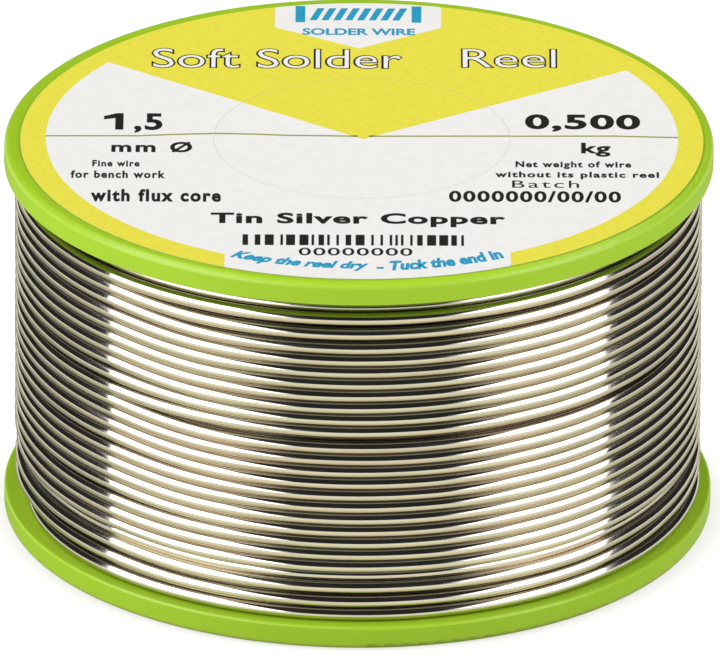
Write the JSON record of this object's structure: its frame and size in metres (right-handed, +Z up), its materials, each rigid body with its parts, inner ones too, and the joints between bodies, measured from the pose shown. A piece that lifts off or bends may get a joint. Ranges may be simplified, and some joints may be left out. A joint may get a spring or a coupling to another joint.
{
  "type": "solder wire spool",
  "caption": "Plastic reel with two round flanges and a bore, closely wound with soft metal wire whose free end can be lifted off, with a paper face label.",
  "frame": {"origin": "centre of the lower flange's outer face, on the reel's axis", "axes": "+Z up the reel's axis, out of the labelled face; -Y is the front, where the label reads upright; +X to the right"},
  "size_m": [0.08, 0.08, 0.0451],
  "materials": {
    "reel_plastic": "semi-gloss moulded polystyrene",
    "label_paper": "coated paper",
    "solder_wire": "bright drawn tin alloy",
    "flux": "amber resin"
  },
  "bodies": {
    "reel": {"lower_reel_half": "reel_plastic", "upper_reel_half": "reel_plastic", "face_label": "label_paper", "label_centre_disc": "label_paper", "wire_layer_1": "solder_wire", "wire_layer_2": "solder_wire", "wire_layer_3": "solder_wire", "wire_layer_4": "solder_wire", "wire_layer_5": "solder_wire", "wire_layer_6": "solder_wire", "wire_layer_7": "solder_wire", "wire_layer_8": "solder_wire", "wire_layer_9": "solder_wire"},
    "wire_end_1": {"wire_end_1": "solder_wire"},
    "wire_end_2": {"wire_end_2": "solder_wire"},
    "wire_end_3": {"wire_end_3": "solder_wire"},
    "wire_end_4": {"wire_end_4": "solder_wire"},
    "wire_end_5": {"wire_end_5": "solder_wire"},
    "wire_end_6": {"wire_end_6": "solder_wire", "flux_core": "flux"}
  },
  "joints": [
    {"name": "end_bend_1", "type": "hinge", "parent": "reel", "child": "wire_end_1", "pos_m": [0.02182, 0.03117, 0.03991], "axis": [0, 0, -1], "range_deg": [0, 15]},
    {"name": "end_bend_2", "type": "hinge", "parent": "wire_end_1", "child": "wire_end_2", "pos_m": [0.01301, 0.03576, 0.03991], "axis": [0, 0, -1], "range_deg": [0, 15]},
    {"name": "end_bend_3", "type": "hinge", "parent": "wire_end_2", "child": "wire_end_3", "pos_m": [0.00332, 0.03791, 0.03991], "axis": [0, 0, -1], "range_deg": [0, 15]},
    {"name": "end_bend_4", "type": "hinge", "parent": "wire_end_3", "child": "wire_end_4", "pos_m": [-0.00661, 0.03747, 0.03991], "axis": [0, 0, -1], "range_deg": [0, 15]},
    {"name": "end_bend_5", "type": "hinge", "parent": "wire_end_4", "child": "wire_end_5", "pos_m": [-0.01608, 0.03449, 0.03991], "axis": [0, 0, -1], "range_deg": [0, 15]},
    {"name": "end_bend_6", "type": "hinge", "parent": "wire_end_5", "child": "wire_end_6", "pos_m": [-0.02446, 0.02915, 0.03991], "axis": [0, 0, -1], "range_deg": [0, 15]}
  ],
  "couplings": [
    {"joint": "end_bend_2", "follows": "end_bend_1", "ratio": 1},
    {"joint": "end_bend_3", "follows": "end_bend_1", "ratio": 1},
    {"joint": "end_bend_4", "follows": "end_bend_1", "ratio": 1},
    {"joint": "end_bend_5", "follows": "end_bend_1", "ratio": 1},
    {"joint": "end_bend_6", "follows": "end_bend_1", "ratio": 1}
  ]
}
